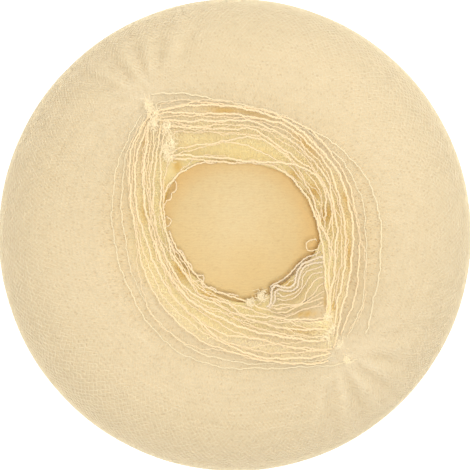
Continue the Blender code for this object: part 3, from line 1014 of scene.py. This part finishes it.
def with_tails(line, reach):
    """A line drawn out straight at both ends."""
    head, tail = line[0] - line[4], line[-1] - line[-5]
    head, tail = head / np.linalg.norm(head), tail / np.linalg.norm(tail)
    steps = np.linspace(reach / 3.0, reach, 3)[:, None]
    return np.concatenate([(line[0] + head * steps)[::-1], line, line[-1] + tail * steps])


def crinkled(line, size, rng):
    """A line with small random bends, sideways and up."""
    line, along = resampled(line, YARN_STEP)
    forward = np.gradient(line, axis=0)
    side = np.stack([-forward[:, 1], forward[:, 0], np.zeros(len(line))], axis=-1)
    side /= np.maximum(np.linalg.norm(side, axis=1, keepdims=True), 1e-9)
    sway = np.zeros(len(line))
    bob = np.zeros(len(line))
    for wave, share in CRINKLE_WAVES:
        wave *= rng.uniform(0.85, 1.15)
        sway += size * share * np.sin(math.tau * along / wave + rng.uniform(0.0, math.tau))
        bob += 0.5 * size * share * np.sin(math.tau * along / wave + rng.uniform(0.0, math.tau))
    return line + side * sway[:, None] + UP * bob[:, None], side, along


def yarn_plies(line, crinkle, diameter, ply_share, rng):
    """Two crinkled plies that wind round each other along a line, with their radii."""
    line, side, along = crinkled(line, crinkle, rng)
    wind = math.tau * along / YARN_TWIST_PITCH + rng.uniform(0.0, math.tau)
    arm = PLY_ARM_SHARE * diameter
    plies = [
        line + arm * (side * np.cos(wind + phase)[:, None] + UP * np.sin(wind + phase)[:, None])
        for phase in (0.0, math.pi)
    ]
    return plies, [ply_share * diameter] * 2


def on_collar(bearing, reach, lift):
    """Points that lie on the collar, raised by lift."""
    share = np.clip(collar_share(bearing, reach), 0.0, 1.0)
    east, north = plan_point(bearing, reach)
    return np.stack([east, north, collar_height(share) + lift], axis=-1)


def settled(lift, span):
    """Lift along a strand that comes down on the net at both ends."""
    return lift - (lift - STRAND_END_LIFT) * (1.0 - np.sin(math.pi * span) ** 0.35)


def strand_plies(strand, rng):
    """The two plies of a strand, with their radii."""
    bearing, reach = strand_polar(strand)
    span = np.linspace(0.0, 1.0, len(bearing))
    sway = np.sin(math.tau * span * rng.uniform(1.0, 2.0) + rng.uniform(0.0, math.tau))
    lift = millimetres(0.5 + strand["lift"] + 0.35 * sway)
    line = with_tails(on_collar(bearing, reach, settled(lift, span)), rng.uniform(0.0005, 0.003))
    return yarn_plies(line, STRAND_CRINKLE, millimetres(strand["diameter"]), PLY_RADIUS_SHARE, rng)


def wandering_plies(rows, first, second, size, crossings, rng):
    """A thin strand that wanders between two neighbours."""
    near, far = [np.stack(strand_polar(rows[name])) for name in (first, second)]
    span = np.linspace(0.0, 1.0, near.shape[1])
    share = 0.5 + 0.6 * np.sin(math.tau * crossings * span + rng.uniform(0.0, math.tau))
    lift = millimetres(0.7 + 0.5 * (rows[first]["lift"] + rows[second]["lift"])) + 0.0004
    line = on_collar(*(near + (far - near) * share), settled(lift, span))
    return yarn_plies(line, LOOSE_CRINKLE, millimetres(size), THIN_PLY_RADIUS_SHARE, rng)


def build_hem_loops(material, outer_material, rng):
    """One piece for each loop of the hem, in place of its solid. The outermost is as pale as the net."""
    rows = strand_rows()
    for loop in range(2, 10):
        plies, radii = [], []
        for name, strand in rows.items():
            if strand["loop"] != loop:
                continue
            threads = [strand_plies(strand, rng)]
            for first, second, size, crossings in WANDERING_STRANDS:
                if first == name:
                    threads.append(wandering_plies(rows, first, second, size, crossings, rng))
            for more, sizes in threads:
                plies += more
                radii += sizes
        mesh = thread_mesh(f"hem_loop_{loop}", plies, radii, sides=4)
        finish = outer_material if loop == 9 else material
        add_piece(f"hem_loop_{loop}", mesh, finish, "hem", f"hem_strand_{loop}")


def curl_lines():
    """The loose curls at the mouth's edge."""
    for curl in records(CURL_COLUMNS, CURLS):
        east, north = plan_point(curl["bearing"], millimetres(curl["reach"]))
        turn = np.radians(np.linspace(curl["from_turn"], curl["to_turn"], 40))
        radius = millimetres(curl["radius"])
        height = COLLAR_HEIGHT - MOUTH_DIP + millimetres(curl["lift"])
        easts, norths = east + radius * np.cos(turn), north + radius * np.sin(turn)
        yield np.stack([easts, norths, np.full(40, height)], axis=-1)


def build_first_loop(material, rng):
    """The innermost loop: a thin crinkled strand round the mouth's edge, with its curls."""
    bearing = np.linspace(0.0, 360.0, 500)
    reach = mouth_reach(bearing) + 0.0012 + 0.0006 * np.sin(np.radians(bearing) * 7.0)
    plies = []
    for line in (on_collar(bearing, reach, 0.0008), *curl_lines()):
        plies += yarn_plies(line, LOOSE_CRINKLE, 0.0006, PLY_RADIUS_SHARE, rng)[0]
    mesh = thread_mesh("hem_loop_1", plies, 0.00017, sides=4)
    add_piece("hem_loop_1", mesh, material, "hem", "hem_strand_1")


def frill_line(frill, count):
    """Evenly spaced points along a frill's thread, smoothly through its table."""
    points = millimetres(np.stack([frill["east"], frill["north"]], axis=-1))
    fine = np.linspace(0.0, len(points) - 1.0, 160)
    index = np.minimum(fine.astype(int), len(points) - 2)
    near = [points[np.clip(index + offset, 0, len(points) - 1)] for offset in (-1, 0, 1, 2)]
    line = smooth_between(*near, (fine - index)[:, None])
    line = on_collar(*polar(*line.T), millimetres(frill["lift"]) + 0.0004)
    return resampled(line, lengths_along(line)[-1] / count)[0]


def build_frills(rng):
    """Ruffled loose net edges: crinkled threads with a fine lattice between them."""
    fibre = bpy.data.node_groups["fibre_mottle"]
    rows = records(FRILL_COLUMNS, FRILL_THREADS)
    pieces = []
    for frill, follower in zip(rows, rows[1:] + rows[:1]):
        dark, light = CREAM_FIBRE + (WHITISH_FIBRE - CREAM_FIBRE) * frill["whiteness"]
        material = yarn_material(f"frill_{frill['name']}", fibre, dark, light, 0.08, 0.2)
        diameter = millimetres(frill["diameter"])
        lines, sizes = yarn_plies(frill_line(frill, 200), FRILL_CRINKLE, diameter, PLY_RADIUS_SHARE, rng)
        group, of_group = [row["name"].rstrip("_12345") for row in (frill, follower)]
        if group == of_group or (group, of_group) in (("bounding", "fold"), ("fold", "fan")):
            near, far = [frill_line(row, LATTICE_STITCHES) for row in (frill, follower)]
            count = min(len(near), len(far))
            across = far[:count] - near[:count]
            width = np.linalg.norm(across, axis=1, keepdims=True)
            zigzag = np.where(np.arange(count) % 2, 0.05, 0.95)[:, None]
            lines.append(near[:count] + across * (zigzag * np.minimum(1.0, LATTICE_REACH / width)))
            sizes.append(LATTICE_THREAD_RADIUS)
        mesh = thread_mesh(f"frill_{frill['name']}", lines, sizes, sides=4)
        pieces.append(add_piece(mesh.name, mesh, material, "net"))
    return pieces


def loose_fibres(middle, spread, length, count, rng):
    """Short curved fibres that lie loose about a place, thinning out from its middle."""
    span = np.linspace(-0.5, 0.5, 8)
    for _ in range(count):
        start = middle + rng.normal(0.0, 1.0, 3) @ spread
        aim = rng.normal(0.0, 1.0, 3) @ spread
        aim *= length * rng.uniform(0.5, 1.2) / max(np.linalg.norm(aim), 1e-6)
        bend = rng.normal(0.0, 0.35 * length, 3) * (1.0, 1.0, 0.4)
        yield start + aim * span[:, None] + bend * (span[:, None] ** 2 - 0.1) * 2.0


def build_fluff(material, rng):
    """Balls of loose fluff on the mouth's edge, and pale loose fibres over the two gathers."""
    lines = []
    for ball in records(FLUFF_COLUMNS, FLUFF):
        east, north = plan_point(ball["bearing"], millimetres(ball["reach"]))
        middle = np.array([east, north, COLLAR_HEIGHT - 0.5 * MOUTH_DIP])
        spread = np.eye(3) * millimetres(ball["radius"]) * 0.42
        lines += loose_fibres(middle, spread, millimetres(1.1 * ball["radius"]), BALL_FIBRES, rng)
    for patch in records(PATCH_COLUMNS, GATHER_FLUFF):
        east, north = millimetres(patch["east"]), millimetres(patch["north"])
        middle = on_collar(*polar(east, north), 0.0021)
        spread = np.diag((millimetres(patch["across"]), millimetres(patch["along"]), 0.0001)) * 0.6
        fibres = PATCH_FIBRES[int(north < 0.0)]
        lines += loose_fibres(middle, spread, millimetres(patch["along"]), fibres, rng)
    mesh = thread_mesh("loose_fluff", lines, FLUFF_RADIUS, sides=4)
    add_piece("loose_fluff", mesh, material, "tuft")


def build_tufts(material, rng):
    """Soft tufts of fine fibres in place of their solids, thinner at the lower gather."""
    for number, bearing in enumerate(TUFT_BEARINGS, start=1):
        node = f"thread_tuft_{number}"
        low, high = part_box(node)
        middle = np.array((low + high) * 0.5)
        east, north = math.cos(math.radians(bearing)), math.sin(math.radians(bearing))
        turn = np.array([[east, north, 0.0], [-north, east, 0.0], UP])
        spread = np.diag((0.0014, 0.0008, 0.0002)) @ turn
        fibres = TUFT_FIBRES[int(number > 3)]
        lines = list(loose_fibres(middle, spread, TUFT_FIBRE_LENGTH, fibres, rng))
        mesh = thread_mesh(f"tuft_fibres_{number}", lines, TUFT_FIBRE_RADIUS, sides=4)
        add_piece(f"tuft_fibres_{number}", mesh, material, "tuft", node)


# Floor, light and camera.

def build_stage():
    """A plain pale floor, soft light from above and the upper right, and the camera overhead."""
    bpy.ops.mesh.primitive_plane_add(size=12.0, location=(0.0, 0.0, 0.0))
    floor = bpy.context.object
    floor.name = "studio_floor"
    paint = bpy.data.materials.new("studio_floor")
    paint.use_nodes = True
    set_inputs(paint.node_tree.nodes["Principled BSDF"], {
        "Base Color": (0.92, 0.92, 0.92), "Roughness": 0.9,
        "Emission Color": (1.0, 1.0, 1.0), "Emission Strength": 0.35,
    })
    floor.data.materials.append(paint)

    scene = bpy.context.scene
    world = bpy.data.worlds.new("studio_air")
    world.use_nodes = True
    set_inputs(world.node_tree.nodes["Background"], {"Color": (1.0, 1.0, 1.0), "Strength": 0.82})
    scene.world = world

    for name, place, size, power in LIGHTS:
        lamp = bpy.data.lights.new(name, "AREA")
        lamp.shape = "DISK"
        lamp.size = size
        lamp.energy = power
        light = bpy.data.objects.new(name, lamp)
        light.location = place
        light.rotation_mode = "QUATERNION"
        light.rotation_quaternion = Vector(place).to_track_quat("Z", "Y")
        scene.collection.objects.link(light)

    lens = bpy.data.cameras.new("camera")
    lens.lens = CAMERA_LENS
    lens.sensor_width = 36.0
    camera = bpy.data.objects.new("camera", lens)
    camera.location = (0.0, 0.0, CAMERA_HEIGHT)
    scene.collection.objects.link(camera)
    scene.camera = camera
    scene.view_settings.view_transform = "Standard"
    scene.view_settings.look = "None"


def main():
    """Dress the whole cap."""
    rng = np.random.default_rng(11)
    knit, fibre = knit_group(), fibre_group()
    yarn = yarn_material("hem_yarn", fibre, (0.77, 0.607, 0.35), (0.775, 0.60, 0.365), 0.12)
    outer_yarn = yarn_material("outer_yarn", fibre, (0.725, 0.61, 0.38), (0.74, 0.62, 0.395), 0.12)
    thread = yarn_material(
        "net_thread", fibre, (0.785, 0.70, 0.495), (0.835, 0.755, 0.56), 0.35, sheen=0.4, pitch=0.0030
    )
    # The mouth's threads are painted warmer than the net's: painted shade deep among the plies, with the
    # painted orange shade of the gaps.
    mouth_thread = yarn_material(
        "mouth_thread", fibre, (0.945, 0.81, 0.42), (0.96, 0.86, 0.53), 0.1,
        pitch=0.0030, shade=(0.74, 0.50, 0.12),
    )
    fluff = yarn_material("tuft_fluff", fibre, (0.93, 0.785, 0.50), (0.95, 0.82, 0.55), 0.15, 0.2)
    cloth = build_cloth(cloth_material(knit), rng)
    crown = build_crown_ply(crown_material(knit))
    threads = build_net_threads(thread, mouth_thread, rng)
    threads += build_frills(rng)
    build_hem_loops(yarn, outer_yarn, rng)
    build_first_loop(yarn, rng)
    build_tufts(fluff, rng)
    build_fluff(fluff, rng)
    build_stage()


main()
